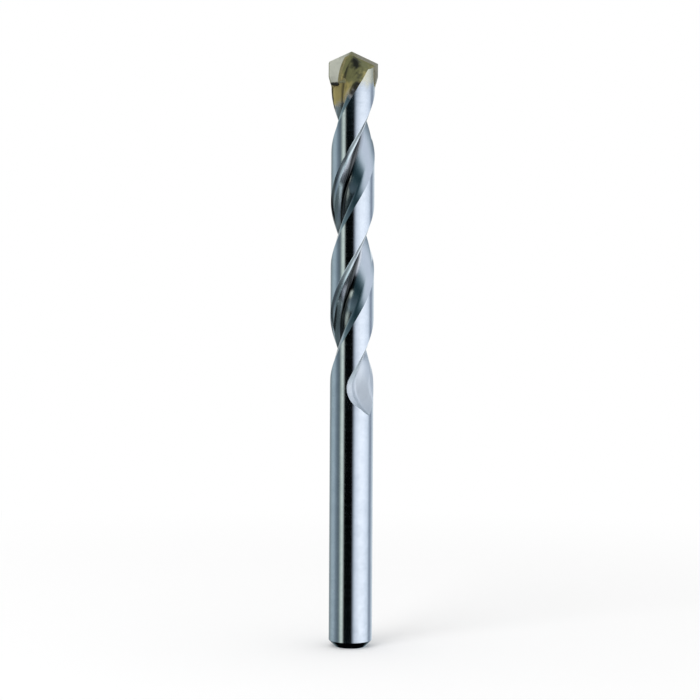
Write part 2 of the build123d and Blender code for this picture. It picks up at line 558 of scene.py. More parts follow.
def worn_plate(look):
    """Plate with round ends, cut to a roof whose faces fall away behind the two cutting edges."""
    rings = []
    for radius, z in (
        (PLATE_BOTTOM_RADIUS, PLATE_BOTTOM),
        (PLATE_RADIUS, PLATE_TAPER_LEVEL),
        (PLATE_RADIUS, PLATE_BLANK_TOP),
    ):
        reach = math.asin(HALF_PLATE / radius)
        angles = np.linspace(-reach, reach, END_STEPS + 1)
        angles = np.concatenate([angles, angles + math.pi])
        rings.append([(radius * math.cos(a), radius * math.sin(a), z) for a in angles])
    plate = placed_mesh("worn_plate", skinned(rings))
    normals = [(half * EDGE_SLOPE, -half * look.plate_relief, 1) for half in (1, -1)]
    cut(plate, [above_plane(f"relief_{i}", (0, 0, LENGTH), normal) for i, normal in enumerate(normals)])
    return plate


# Studio

# Where the surfaces stand that the steel mirrors; the skirt parts what the shank sees from what
# the flutes see
COVE_RADIUS = 450 * MM
COVE_HIGH = 196 * MM
COVE_LOW = 21 * MM
LINING_LOW = -104 * MM
OUTER_LOW = -154 * MM
MIDDLE_LOW = -234 * MM
GREY_LOW = -370 * MM
PIT = -700 * MM
SCREEN_HIGH = 900 * MM
SKIRT_RIM = 120 * MM
SKIRT_TOP = 40.1 * MM
SKIRT_SLOPE = 0.261
LAYER_GAP = 1 * MM
TURNED_STEP = 5

# The cove's shades by direction in degrees: 0 is towards the camera, + is to the camera's right
COVE_SHADES = {
    -180: "#d0d4d6", -160: "#a8acae", -147: "#727c7e", -136: "#7c898d", -122: "#8f9ea5",
    -108: "#94a4ac", -97: "#8998a1", -88: "#707e88", -76: "#59666e", -66: "#5a666b",
    -57: "#a4b0aa", -50: "#c6d2ca", -44: "#b4beb8", -36: "#020303", 4: "#020303",
    12: "#858c97", 18: "#b8c0ca", 25: "#d0d7e3", 45: "#e8eef7", 64: "#e8eef8",
    86: "#d6deea", 99: "#c0cad6", 108: "#909aa8", 119: "#76808e", 130: "#98a2ae",
    145: "#b8c2ca", 180: "#d0d4d6",
}

# What the flutes mirror below the cove, beside its foot, and above it, where the shades lean
MIDDLE_SHADES = {
    -180: "#5a6060", -135: "#303434", -100: "#3a4446", -70: "#65737a", -41: "#667684",
    -28: "#6a7984", -9: "#80909a", 4: "#a2b2ba", 29: "#b7c8d0", 50: "#b8ccd2",
    110: "#b8c8d0", 150: "#b8c4cc", 180: "#5a6060",
}
OUTER_SHADES = {
    -180: "#c8ccce", -155: "#b8bcbc", -142: "#6a6c6a", -128: "#181a1a", -118: "#060708",
    -104: "#0c1010", -84: "#586466", -62: "#687678", -42: "#2a3a3e", -20: "#0c1a20",
    40: "#0c1a20", 54: "#a0b0b8", 64: "#c6d6dc", 90: "#ccdae0", 120: "#ccd6de",
    165: "#ccd4dc", 180: "#c8ccce",
}
SCREEN_SHADES = {
    -180: "#788a8e", -136: "#74868a", -116: "#586a70", -94: "#485a60", -80: "#405058",
    -62: "#34424a", -45: "#283a40", -28: "#182a30", -12: "#1a2c32", 2: "#30424a",
    15: "#4c5e66", 26: "#6c7c86", 38: "#98a4b0", 52: "#a8b4c0", 66: "#aab4c2",
    100: "#aab4c2", 118: "#9ca8b4", 130: "#84929e", 142: "#727e8a", 164: "#5e6c72",
    180: "#788a8e",
}
SCREEN_LEAN = -2.7


def glowing(name, shades, strength, lean=0):
    """Evenly lit cloth or card of one hex value, or of shades round the object by direction in degrees.

    The lean turns the shades with height, in radians for each metre.
    """
    material, tree, shader, place = new_material(name)
    tree.nodes.remove(shader)
    if isinstance(shades, str):
        tone = colour(shades)
    else:
        height = add(tree, "SeparateXYZ", [place], output="Z")
        start = math.pi / 2 + lean * COVE_HIGH
        turn = add(tree, "Math", [height, -lean, start], operation="MULTIPLY_ADD")
        facing = add(tree, "VectorRotate", {"Vector": place, "Angle": turn}, rotation_type="Z_AXIS")
        around = add(tree, "TexGradient", [facing], output="Fac", gradient_type="RADIAL")
        stops = [(angle / 360 + 0.5, code) for angle, code in shades.items()]
        tone = add(tree, "ValToRGB", [around], stops=stops)
    glow = add(tree, "Emission", {"Color": tone, "Strength": strength})
    fill(tree.nodes["Material Output"], {"Surface": glow})
    return material


def stage_piece(name, vertices, faces, material):
    data = bpy.data.meshes.new(name)
    data.from_pydata(vertices, [], faces)
    data.materials.append(material)
    piece = placed(name, data)
    return piece


def turned(name, profile, material):
    """Surface turned round the object from a profile of (radius, height) points.

    It shows only in what the bit mirrors, so that it neither shades nor hides anything.
    """
    angles = np.radians(np.arange(0, 360, TURNED_STEP))
    around = len(angles)
    vertices = [(r * math.sin(a), -r * math.cos(a), height) for r, height in profile for a in angles]
    faces = [
        (row + i, row + (i + 1) % around, row + around + (i + 1) % around, row + around + i)
        for row in range(0, around * (len(profile) - 1), around)
        for i in range(around)
    ]
    piece = stage_piece(name, vertices, faces, material)
    for ray in ("camera", "diffuse", "shadow", "transmission"):
        setattr(piece, f"visible_{ray}", False)


def make_reflections(studio):
    """What the polished steel mirrors, apart for level rays and for those that fall or rise steeply."""
    bright = studio.mirror_level
    cove = glowing("painted_cove", COVE_SHADES, bright)
    middle = glowing("middle_cloth", MIDDLE_SHADES, bright)
    outer = glowing("outer_cloth", OUTER_SHADES, bright)
    low = glowing("grey_cloth", "#4c5a5e", bright)
    black = glowing("black_velvet", "#040506", 1)
    above = glowing("leaning_screen", SCREEN_SHADES, bright, SCREEN_LEAN)
    pale = glowing("pale_blue_ceiling", "#b4becc", bright)
    hem = SKIRT_TOP - SKIRT_SLOPE * (COVE_RADIUS - SKIRT_RIM)
    near = COVE_RADIUS - LAYER_GAP
    over_hem = [(SKIRT_RIM + LAYER_GAP, SKIRT_TOP), (near, hem + LAYER_GAP), (near, COVE_LOW)]
    turned("lining", [(SKIRT_RIM, SKIRT_TOP), (COVE_RADIUS, hem), (COVE_RADIUS, LINING_LOW)], cove)
    turned("skirt", over_hem, outer)
    for name, low_rim, high_rim, material in (
        ("cove", COVE_LOW, COVE_HIGH, cove),
        ("outer", LINING_LOW, OUTER_LOW, outer),
        ("middle", OUTER_LOW, MIDDLE_LOW, middle),
        ("grey", MIDDLE_LOW, GREY_LOW, low),
        ("screen", COVE_HIGH, SCREEN_HIGH, above),
    ):
        turned(name, [(COVE_RADIUS, low_rim), (COVE_RADIUS, high_rim)], material)
    turned("pit", [(COVE_RADIUS, GREY_LOW), (COVE_RADIUS, PIT), (LAYER_GAP, PIT)], black)
    turned("ceiling", [(COVE_RADIUS, SCREEN_HIGH), (LAYER_GAP, SCREEN_HIGH)], pale)


def room_white(tree, studio):
    """Strength of the room's white: full to the lens, metal and glass, plain room light to the rest."""
    path = add(tree, "LightPath").node.outputs
    seen = add(tree, "Math", [path["Is Camera Ray"], path["Is Glossy Ray"]], operation="MAXIMUM")
    seen = add(tree, "Math", [seen, path["Is Transmission Ray"]], operation="MAXIMUM")
    return add(tree, "MapRange", [seen, 0, 1, studio.room_level, 1])


# Half the floor's side
FLOOR_REACH = 40

# The paper shows as itself near the bit, and fades to white from there
PAPER_NEAR = 60 * MM
PAPER_FAR = 260 * MM


def make_floor(studio):
    """Matt white paper that keeps the bit's shadow, and further out is as white as the room."""
    material, tree, paper, place = new_material("matt_white_paper")
    fill(paper, {"Base Color": studio.floor_colour, "Roughness": 1, "Specular IOR Level": 0})
    away = add(tree, "VectorMath", [place], operation="LENGTH")
    far = add(tree, "MapRange", [away, PAPER_NEAR, PAPER_FAR], **SMOOTH)
    white = add(tree, "Emission", {"Color": (1, 1, 1), "Strength": room_white(tree, studio)})
    mixed = add(tree, "MixShader", [far, paper.outputs[0], white])
    fill(tree.nodes["Material Output"], {"Surface": mixed})
    corners = [(FLOOR_REACH * x, FLOOR_REACH * y, 0) for x, y in ((-1, -1), (1, -1), (1, 1), (-1, 1))]
    floor = stage_piece("floor", corners, [(0, 1, 2, 3)], material)
    floor.visible_glossy = False


# To the camera's left, above the bit and in front of it
LAMP_PLACE = Vector((-420, -520, 620)) * MM


def make_light(studio):
    """A white room that the lens and the metal see in full, and one broad soft lamp."""
    world = bpy.data.worlds.new("even_white_studio")
    world.use_nodes = True
    tree = world.node_tree
    fill(tree.nodes["Background"], {"Color": (1, 1, 1), "Strength": room_white(tree, studio)})
    bpy.context.scene.world = world

    data = bpy.data.lights.new("soft_box", "AREA")
    data.shape = "DISK"
    data.size = studio.lamp_size
    data.energy = studio.lamp_power
    lamp = placed("soft_box", data)
    lamp.location = LAMP_PLACE
    aim = Vector((0, 0, LENGTH / 2)) - LAMP_PLACE
    lamp.rotation_euler = aim.to_track_quat("-Z", "Y").to_euler()
    lamp.visible_glossy = False


# The bit stands a little to the right of the frame's middle and leans very slightly in it
CAMERA_ASIDE = -0.3705 * MM
CAMERA_ROLL = -0.0055


def make_camera(studio):
    """Level camera in front of the middle of the bit."""
    data = bpy.data.cameras.new("camera")
    data.lens = studio.lens
    data.clip_start = 10 * MM
    camera = placed("camera", data)
    camera.location = (CAMERA_ASIDE, -studio.camera_distance, studio.camera_height)
    camera.rotation_euler = (math.pi / 2, CAMERA_ROLL, 0)
    bpy.context.scene.camera = camera


# Materials

# Noise patterns: 0.7 / MM is 0.7 marks to the millimetre, or 1.4 mm from mark to mark
STAIN_FRONT = {"Scale": 0.7 / MM, "Detail": 3}
TORCH_PATCHES = {"Scale": 0.62 / MM, "Detail": 4, "Roughness": 0.55}
SHANK_CLOUDS = {"Scale": 0.42 / MM, "Detail": 8, "Roughness": 0.75}
FLUTE_CLOUDS = {"Scale": 0.32 / MM, "Detail": 5, "Roughness": 0.6}
CARBIDE_PATCHES = {"Scale": 0.42 / MM, "Detail": 4}

# Real nicks, grit, grain, ripples and crust are under 0.1 mm apart, too fine to show, and are
# drawn at 0.3 to 0.7 mm
EDGE_NICKS = {"Scale": 1.8 / MM, "Detail": 3}
FLUTE_GRIT = {"Scale": 3.3 / MM, "Detail": 2}
HEAD_GRIT = {"Scale": 2.6 / MM, "Detail": 4}
CARBIDE_GRAIN = {"Scale": 3 / MM, "Detail": 4, "Roughness": 0.7}
ALLOY_RIPPLES = {"Scale": 1.5 / MM, "Detail": 4, "Distortion": 0.6}
FLUX_SHADE_CRUST = {"Scale": 2.2 / MM, "Detail": 5}

# How uneven the heat stain's front is, how soft, and how far down it creeps in the flutes for
# each metre from the axis
STAIN_WAVE = 4 * MM
STAIN_FADE = 1.2 * MM
EDGE_CREEP = 0.9

# How many times longer than wide the grinding marks are drawn
RING_STRETCH = 40
STREAK_STRETCH = 25

# The wheel leaves the run-out duller, and the flutes' painted shade and highlight fade out over it
DULL_BELOW = 54 * MM
POLISHED_ABOVE = 60 * MM

# How far from its edges the plate shows wear and a painted highlight
PLATE_EDGE = 0.12 * MM


def heat_stain(tree, place, bare, stain, reach, creep=0.0):
    """Bare metal's colour turned towards the stain's above a height, with an uneven front.

    The creep is how much lower the stain reaches for each metre from the axis along X.
    """
    clouds = add(tree, "TexNoise", {"Vector": place, **STAIN_FRONT})
    parts = add(tree, "SeparateXYZ", [place]).node.outputs
    aside = add(tree, "Math", [parts["X"]], operation="ABSOLUTE")
    height = add(tree, "Math", [aside, creep, parts["Z"]], operation="MULTIPLY_ADD")
    uneven = add(tree, "Math", [clouds, STAIN_WAVE, height], operation="MULTIPLY_ADD")
    middle = reach + STAIN_WAVE / 2
    share = add(tree, "MapRange", [uneven, middle - STAIN_FADE, middle + STAIN_FADE], **SMOOTH)
    return add(tree, "Mix", {"Factor": share, 6: bare, 7: stain}, data_type="RGBA"), share


def worn_edges(tree, place, bare, look):
    """Bare metal brightened by wear near the land's edges, from their distance kept on the mesh."""
    width = look.wear_width
    distance = add(tree, "Attribute", output="Fac", attribute_name="edge_distance")
    nicks = add(tree, "TexNoise", {"Vector": place, **EDGE_NICKS})
    ragged = add(tree, "Math", [nicks, 1.6 * width, distance], operation="MULTIPLY_ADD")
    wear = add(tree, "MapRange", [ragged, 0.8 * width, 1.9 * width, 1.0, 0.0])
    return add(tree, "Mix", {"Factor": wear, 6: bare, 7: look.worn_colour}, data_type="RGBA")


def centreless_ground_steel(tree, place, look):
    """Centreless-ground alloy steel: mirror-bright, with fine rings round it where the wheel cut."""
    # The real rings stand about 0.05 mm apart, too fine to show, and are drawn at look.ring_spacing
    across = 1 / look.ring_spacing
    along = across / RING_STRETCH
    stretched = add(tree, "Mapping", {"Vector": place, "Scale": (along, along, across)})
    rings = add(tree, "TexNoise", {"Vector": stretched, "Scale": 1, "Detail": 3})
    clouds = add(tree, "TexNoise", {"Vector": place, **SHANK_CLOUDS})
    mottled = add(tree, "MapRange", [clouds, 0.34, 0.66])
    tones = {"Factor": mottled, 6: look.ground_colour, 7: look.ground_shade}
    bright = add(tree, "Mix", tones, data_type="RGBA")
    worn = worn_edges(tree, place, bright, look)
    stained, share = heat_stain(tree, place, worn, look.straw_colour, look.heat_reach)
    satin = add(tree, "MapRange", [rings, 0.3, 0.7, 0.07, 0.13])
    cloudy = add(tree, "Math", [clouds, 0.06, satin], operation="MULTIPLY_ADD")
    oxidised = add(tree, "Math", [share, 0.16, cloudy], operation="MULTIPLY_ADD")
    bump = add(tree, "Bump", {"Height": rings, "Distance": 0.0006 * MM})
    return {"Base Color": stained, "Metallic": 1, "Roughness": oxidised, "Normal": bump}


def form_ground_steel(tree, place, look):
    """Form-ground flutes: satin, with streaks along the helix, and stained olive by the brazing torch."""
    height = add(tree, "SeparateXYZ", [place], output="Z")
    turn = add(tree, "Math", [height, -TURN_PER_METRE], operation="MULTIPLY")
    straight = add(tree, "VectorRotate", {"Vector": place, "Angle": turn}, rotation_type="Z_AXIS")
    # The real streaks are about 0.05 mm wide, and are drawn at look.streak_spacing
    across = 1 / look.streak_spacing
    along = across / STREAK_STRETCH
    stretched = add(tree, "Mapping", {"Vector": straight, "Scale": (across, across, along)})
    streaks = add(tree, "TexNoise", {"Vector": stretched, "Scale": 1, "Detail": 3})
    clouds = add(tree, "TexNoise", {"Vector": place, **FLUTE_CLOUDS})
    tones = {"Factor": clouds, 6: look.flute_colour, 7: look.flute_shade}
    satin = add(tree, "Mix", tones, data_type="RGBA")
    worn = worn_edges(tree, place, satin, look)
    stains = torch_stains(tree, place, look)
    reach = look.heat_reach - STAIN_FADE
    stained, share = heat_stain(tree, place, worn, stains, reach, EDGE_CREEP)
    worked = add(tree, "MapRange", [height, DULL_BELOW, POLISHED_ABOVE])
    # Painted shade beside the leading edge, along it where stained, and in the root, with a painted
    # highlight band between
    marked = flute_painted_light(tree, stained, share, streaks, worked, look)
    patched, patch_cover = dark_patches_over(tree, place, marked, look)
    dulled = add(tree, "Math", [share, patch_cover], operation="MAXIMUM")
    rough = add(tree, "MapRange", [streaks, 0.3, 0.7, 0.48, 0.56])
    rough = add(tree, "Math", [worked, -0.37, rough], operation="MULTIPLY_ADD")
    rough = add(tree, "Math", [dulled, 0.35, rough], operation="MULTIPLY_ADD")
    film = add(tree, "MapRange", [dulled, 0, 1, 1.0, 0.3])
    grit = add(tree, "TexNoise", {"Vector": place, **FLUTE_GRIT})
    texture = add(tree, "Math", [grit, 0.8, streaks], operation="MULTIPLY_ADD")
    bump = add(tree, "Bump", {"Height": texture, "Distance": 0.003 * MM})
    return {"Base Color": patched, "Metallic": film, "Roughness": rough, "Normal": bump}


# Painted shade and highlight across the flute: millimetres from the leading edge, and how much light the
# steel keeps there
FLUTE_PAINTED_LIGHT = {
    0.0: "#dadada", 0.1: "#c8c8c8", 0.26: "#a8a8a8", 0.45: "#989898", 0.7: "#c0c0c0", 0.9: "#ffffff",
    1.3: "#f4f4f4", 2.3: "#c0c0c0", 2.6: "#747474", 3.3: "#585858", 3.7: "#d8d8d8", 4.3: "#ffffff",
}
ROOT_LINE = 2.72 * MM
RAGGED = 0.4 * MM


def flute_painted_light(tree, bare, stained, streaks, worked, look):
    """Paints shade beside the leading edge, in the root and, where stained, on the edge, with a painted
    highlight band between.
    """
    across = add(tree, "Attribute", output="Fac", attribute_name="across_flute")
    ragged = add(tree, "Math", [streaks, RAGGED, across], operation="MULTIPLY_ADD")
    reach = max(FLUTE_PAINTED_LIGHT)
    share = add(tree, "MapRange", [ragged, RAGGED / 2, RAGGED / 2 + reach * MM])
    stops = [(distance / reach, code) for distance, code in FLUTE_PAINTED_LIGHT.items()]
    # Painted shade and highlight across the flute, as a factor on the steel's colour
    marks = add(tree, "ValToRGB", [share], stops=stops)
    # The stain covers the painted shade and highlight at the head, but not the painted shade in the root
    seen = add(tree, "Math", [stained, -0.8, worked], operation="MULTIPLY_ADD")
    marked = add(tree, "Mix", {"Factor": seen, 6: bare, 7: marks}, data_type="RGBA", blend_type="MULTIPLY")
    # Painted shade along the root of the flute
    off_root = add(tree, "Math", [ragged, ROOT_LINE + RAGGED / 2], operation="SUBTRACT")
    beside = add(tree, "Math", [off_root], operation="ABSOLUTE")
    root_shade = add(tree, "MapRange", [beside, 0.04 * MM, 0.4 * MM, 0.8, 0.0])
    shade_in_root = add(tree, "Math", [root_shade, worked], operation="MULTIPLY")
    # Where the torch has stained the steel, painted shade darkens the leading edge too
    edge = add(tree, "MapRange", [ragged, 0.5 * MM, 1.0 * MM, 0.9, 0.0])
    grazing_shade = add(tree, "Math", [edge, stained], operation="MULTIPLY")
    painted_dark = add(tree, "Math", [shade_in_root, grazing_shade], operation="MAXIMUM")
    return add(tree, "Mix", {"Factor": painted_dark, 6: marked, 7: look.dark_and_shade_colour}, data_type="RGBA")


# Dark patches on one side of the plate, in millimetres: x, y, z, how far each reaches, and
# then how thin it is, where the thickest are below zero
DARK_PATCHES = [
    (0.1, -1.9, 118.1, 1.3, 0.0),
    (0.5, -2.3, 117.2, 1.4, 0.0),
    (0.7, -2.6, 116.5, 1.0, 0.0),
    (1.3, -3.0, 115.2, 2.4, 0.25),
    (0.9, -4.2, 112.8, 1.1, -0.1),
    (0.4, -4.3, 112.0, 1.2, -0.4),
    (-0.1, -4.3, 111.2, 1.1, -0.6),
    (-4.3, 0.5, 112.3, 1.0, 0.0),
    (-4.2, 1.2, 110.9, 1.1, 0.0),
    (-3.9, 1.9, 109.4, 1.1, 0.0),
]


def dark_patches_over(tree, place, metal, look):
    """Metal's colour under dark patches with ragged edges, and how much of it they cover."""
    nearest = None
    for half in (1, -1):
        for x, y, z, size, thinness in DARK_PATCHES:
            centre = (half * x * MM, half * y * MM, z * MM)
            away = add(tree, "VectorMath", [place, centre], operation="DISTANCE")
            reach = add(tree, "Math", [away, 1 / (size * MM), thinness], operation="MULTIPLY_ADD")
            if nearest:
                reach = add(tree, "Math", [nearest, reach], operation="MINIMUM")
            nearest = reach
    clouds = add(tree, "TexNoise", {"Vector": place, **TORCH_PATCHES})
    ragged = add(tree, "Math", [clouds, 2.0, nearest], operation="MULTIPLY_ADD")
    patch_cover = add(tree, "MapRange", [ragged, 1.05, 1.95, 0.95, 0.0], **SMOOTH)
    return add(tree, "Mix", {"Factor": patch_cover, 6: metal, 7: look.dark_and_shade_colour}, data_type="RGBA"), patch_cover


def torch_stains(tree, place, look):
    """Patches of olive and tan where the torch played on the steel."""
    patches = add(tree, "TexNoise", {"Vector": place, **TORCH_PATCHES})
    parts = add(tree, "SeparateXYZ", [place]).node.outputs
    # The stain is olive near the point, and turns to tan lower down and further out
    aside = add(tree, "Math", [parts["X"]], operation="ABSOLUTE")
    outward = add(tree, "Math", [aside, 0.1 / MM, patches], operation="MULTIPLY_ADD")
    lower = add(tree, "Math", [parts["Z"], -0.12 / MM, outward], operation="MULTIPLY_ADD")
    tan = add(tree, "MapRange", [lower, -13.2, -12.75], **SMOOTH)
    return add(tree, "Mix", {"Factor": tan, 6: look.olive_colour, 7: look.tan_colour}, data_type="RGBA")


def torch_oxidised_steel(tree, place, look):
    """Ground steel that the brazing torch has oxidised: half matt, in patches of olive and tan, and dark
    patches.
    """
    patched = dark_patches_over(tree, place, torch_stains(tree, place, look), look)[0]
    grit = add(tree, "TexNoise", {"Vector": place, **HEAD_GRIT})
    film = add(tree, "MapRange", [grit, 0, 1, 0.5, 0.2])
    rough = add(tree, "MapRange", [grit, 0, 1, 0.4, 0.7])
    bump = add(tree, "Bump", {"Height": grit, "Distance": 0.02 * MM})
    return {"Base Color": patched, "Metallic": film, "Roughness": rough, "Normal": bump}


def sintered_tungsten_carbide(tree, place, look):
    """Sintered tungsten carbide, blasted after brazing: pale, matt, finely grained, with bright edges.

    The bright edges are wear and a painted highlight.
    """
    grain = add(tree, "TexNoise", {"Vector": place, **CARBIDE_GRAIN})
    patches = add(tree, "TexNoise", {"Vector": place, **CARBIDE_PATCHES})
    darker = add(tree, "MapRange", [patches, 0.36, 0.64], **SMOOTH)
    tones = {"Factor": darker, 6: look.carbide_colour, 7: look.carbide_shade}
    blasted = add(tree, "Mix", tones, data_type="RGBA")
    rounded = add(tree, "Bevel", {"Radius": PLATE_EDGE}, samples=6)
    true = add(tree, "NewGeometry", output="Normal")
    stained = plate_stain_and_shade(tree, blasted, place, true, patches, look)
    level = add(tree, "VectorMath", [rounded, true], operation="DOT_PRODUCT")
    # Wear and a painted highlight along the plate's edges
    edge = add(tree, "MapRange", [level, 0.8, 0.99, 0.7, 0.0])
    worn = add(tree, "Mix", {"Factor": edge, 6: stained, 7: look.carbide_wear_and_highlight}, data_type="RGBA")
    film = add(tree, "MapRange", [grain, 0, 1, 0.15, 0.55])
    rough = add(tree, "MapRange", [grain, 0, 1, 0.62, 0.42])
    bump = add(tree, "Bump", {"Height": grain, "Distance": 0.012 * MM, "Normal": rounded})
    return {"Base Color": worn, "Metallic": film, "Roughness": rough, "Normal": bump}


def plate_stain_and_shade(tree, pale, place, facing, patches, look):
    """Carbide as flux, torch and painted shade leave it: pale cutting faces, brown behind cutting edges.
    """
    parts = add(tree, "SeparateXYZ", [place]).node.outputs
    half = add(tree, "Math", [parts["Y"]], operation="SIGN")
    behind = add(tree, "Math", [parts["X"], half], operation="MULTIPLY")
    ragged = add(tree, "Math", [patches, 1.6 * MM, behind], operation="MULTIPLY_ADD")
    # The stain and painted shade spread further along the plate near its foot
    leaning = add(tree, "Math", [parts["Z"], 0.3, ragged], operation="MULTIPLY_ADD")
    # Flux stain and painted shade on the side behind each cutting edge
    fluxed_and_shaded = add(tree, "MapRange", [leaning, 37.2 * MM, 38.3 * MM, 0.85, 0.0], **SMOOTH)
    browned = add(tree, "MapRange", [ragged, -0.6 * MM, 1.6 * MM, 1.0, 0.0])
    tones = {"Factor": browned, 6: look.olive_colour, 7: look.ground_carbide}
    stain = add(tree, "Mix", tones, data_type="RGBA")
    # The roof and the ends are ground, and keep a grey skin
    sideways = add(tree, "SeparateXYZ", [facing], output="Y")
    sideways = add(tree, "Math", [sideways], operation="ABSOLUTE")
    ground = add(tree, "MapRange", [sideways, 0.9, 0.5, 0.0, 0.8])
    share = add(tree, "Math", [fluxed_and_shaded, ground], operation="MAXIMUM")
    return add(tree, "Mix", {"Factor": share, 6: pale, 7: stain}, data_type="RGBA")


def brass_brazing_alloy(tree, place, look):
    """Brass brazing alloy as it froze: rippled, and dulled brown by the flame with brassy spots left."""
    ripples = add(tree, "TexNoise", {"Vector": place, **ALLOY_RIPPLES})
    spots = add(tree, "MapRange", [ripples, 0.45, 0.65], **SMOOTH)
    tones = {"Factor": spots, 6: look.braze_shade, 7: look.braze_colour}
    dulled = add(tree, "Mix", tones, data_type="RGBA")
    film = add(tree, "MapRange", [spots, 0, 1, 0.3, 0.8])
    rough = add(tree, "MapRange", [ripples, 0, 1, 0.55, 0.3])
    bump = add(tree, "Bump", {"Height": ripples, "Distance": 0.05 * MM})
    return {"Base Color": dulled, "Metallic": film, "Roughness": rough, "Normal": bump}


def burnt_flux_and_painted_shade(tree, place, look):
    """Brazing flux burnt to a glassy black crust along the joint, dark enough to paint the shade under the
    plate.
    """
    crust = add(tree, "TexNoise", {"Vector": place, **FLUX_SHADE_CRUST})
    tones = {"Factor": crust, 6: look.dark_and_shade_colour, 7: look.flux_and_shade_colour}
    charred = add(tree, "Mix", tones, data_type="RGBA")
    rough = add(tree, "MapRange", [crust, 0, 1, 0.25, 0.7])
    bump = add(tree, "Bump", {"Height": crust, "Distance": 0.04 * MM})
    return {"Base Color": charred, "Roughness": rough, "Normal": bump}


# Flux beads, which also paint the shade under the plate's ends

FLUX_SHADE_OUTER_END = np.array([-4.5, -1.12, 113.45]) * MM
FLUX_SHADE_INNER_END = np.array([-2.85, -1.45, 113.3]) * MM
FLUX_SHADE_STATIONS = 14
FLUX_SHADE_SIDES = 12

# How much of a bead's length its ends take to swell, how bluntly, and its lumps: the height of
# each wave for the bead's radius, its turn along the bead in radians, and where it starts
FLUX_SHADE_END = 0.03
FLUX_SHADE_BLUNTNESS = 0.4
FLUX_SHADE_LUMPS = ((0.22, 9, 1), (0.12, 23, 0))


def flux_and_shade_bead(half, look):
    """Lumpy burnt flux, and painted shade, under the plate's overhanging end in front of its cutting face.
    """
    rings = []
    for share in np.arange(FLUX_SHADE_STATIONS + 1) / FLUX_SHADE_STATIONS:
        centre = FLUX_SHADE_OUTER_END + (FLUX_SHADE_INNER_END - FLUX_SHADE_OUTER_END) * share
        swell = math.sin(math.pi * min(max(share, FLUX_SHADE_END), 1 - FLUX_SHADE_END)) ** FLUX_SHADE_BLUNTNESS
        lump = 1 + sum(height * math.sin(wave * share + start) for height, wave, start in FLUX_SHADE_LUMPS)
        radius = look.flux_and_shade_thickness / 2 * swell * lump
        ring = []
        for angle in 2 * math.pi * np.arange(FLUX_SHADE_SIDES) / FLUX_SHADE_SIDES:
            x, y, z = centre + radius * np.array([0, math.cos(angle), 1.05 * math.sin(angle)])
            ring.append((half * x, half * y, z))
        rings.append(ring)
    mesh = skinned(rings)
    for face in mesh.faces:
        face.smooth = len(face.verts) == 4
    bmesh.ops.recalc_face_normals(mesh, faces=mesh.faces)
    return mesh


# Add-on


def shade(label, text, code):
    return bpy.props.FloatVectorProperty(
        name=label, description=text, subtype="COLOR", size=3, min=0, max=1, default=colour(code)
    )


def length(label, text, millimetres):
    return bpy.props.FloatProperty(name=label, description=text, unit="LENGTH", default=millimetres * MM)


def level(label, text, default, **more):
    return bpy.props.FloatProperty(name=label, description=text, default=default, **more)


class DRILLBIT_PG_look(bpy.types.PropertyGroup):
    """Colours and mark sizes of the bit's surfaces"""

    ground_colour: shade("Ground Steel", "Shank and lands where they are brightest", "#d8dce0")
    ground_shade: shade("Ground Steel Shade", "Shank and lands where they are dullest", "#cacfd4")
    flute_colour: shade("Flute Steel", "Flutes where they are brightest", "#eeeff0")
    flute_shade: shade("Flute Steel Shade", "Flutes where they are dullest", "#dcdfe2")
    worn_colour: shade("Worn Edge", "Bright wear along the lands' edges", "#e2e6e8")
    straw_colour: shade("Straw Stain", "Light heat stain on the lands", "#e4ddc4")
    olive_colour: shade("Olive Stain", "Heavy heat stain in the flutes", "#74744a")
    tan_colour: shade("Tan Stain", "Brown-yellow patches in the heavy heat stain", "#b0a266")
    # Colour of the dark patches, of the painted shade in the flutes' root and on their stained edge, and
    # of the flux crust
    dark_and_shade_colour: shade("Soot", "Burnt film near the plate", "#15150f")
    carbide_colour: shade("Carbide", "Pale part of the blasted carbide", "#c9cabb")
    carbide_shade: shade("Carbide Shade", "Darker patches of the carbide", "#aeb0a2")
    ground_carbide: shade("Ground Carbide", "Roof and ends of the plate", "#8b8878")
    # Wear and a painted highlight along the plate's edges
    carbide_wear_and_highlight: shade("Carbide Edge", "Wear along the plate's edges", "#dadbd0")
    braze_colour: shade("Braze", "Brazing alloy where its brass shows", "#b3a672")
    braze_shade: shade("Braze Shade", "Brazing alloy dulled by the flame", "#8c8660")
    # Lighter tone of the flux crust, which also paints the shade under the plate
    flux_and_shade_colour: shade("Burnt Flux", "Glassy crust along the joint", "#2c2a1e")
    ring_spacing: length("Grinding Ring Spacing", "Between rings round the shank", 0.3)
    streak_spacing: length("Flute Streak Spacing", "Between streaks along the flutes", 0.25)
    edge_wear: length("Plate Edge Wear", "Width worn off the plate's edges", 0.06)
    wear_width: length("Edge Wear", "Width of the wear along the lands' edges", 0.12)
    heat_reach: length("Heat Stain Height", "Height above which the lands are stained", 113.2)
    flux_and_shade_thickness: length("Flux Thickness", "Across a bead of burnt flux", 0.75)
    plate_relief: level("Plate Relief", "Fall of the roof behind a cutting edge, as a slope", 0.15)


class DRILLBIT_PG_studio(bpy.types.PropertyGroup):
    """Sizes and levels of the studio"""

    floor_colour: shade("Floor", "Colour of the floor paper", "#fdfdfd")
    room_level: level("Room Level", "Light of the room on surfaces", 0.86)
    mirror_level: level("Mirror Level", "Brightness of what the steel mirrors", 1.5)
    lamp_power: level("Lamp", "Power of the soft box", 2.0, subtype="POWER")
    lamp_size: length("Lamp Size", "Across the soft box", 500)
    lens: level("Lens", "Focal length", 74.6, subtype="DISTANCE_CAMERA")
    camera_distance: length("Camera Distance", "From the bit's axis", 293.6)
    camera_height: length("Camera Height", "Above the floor", 59.8)


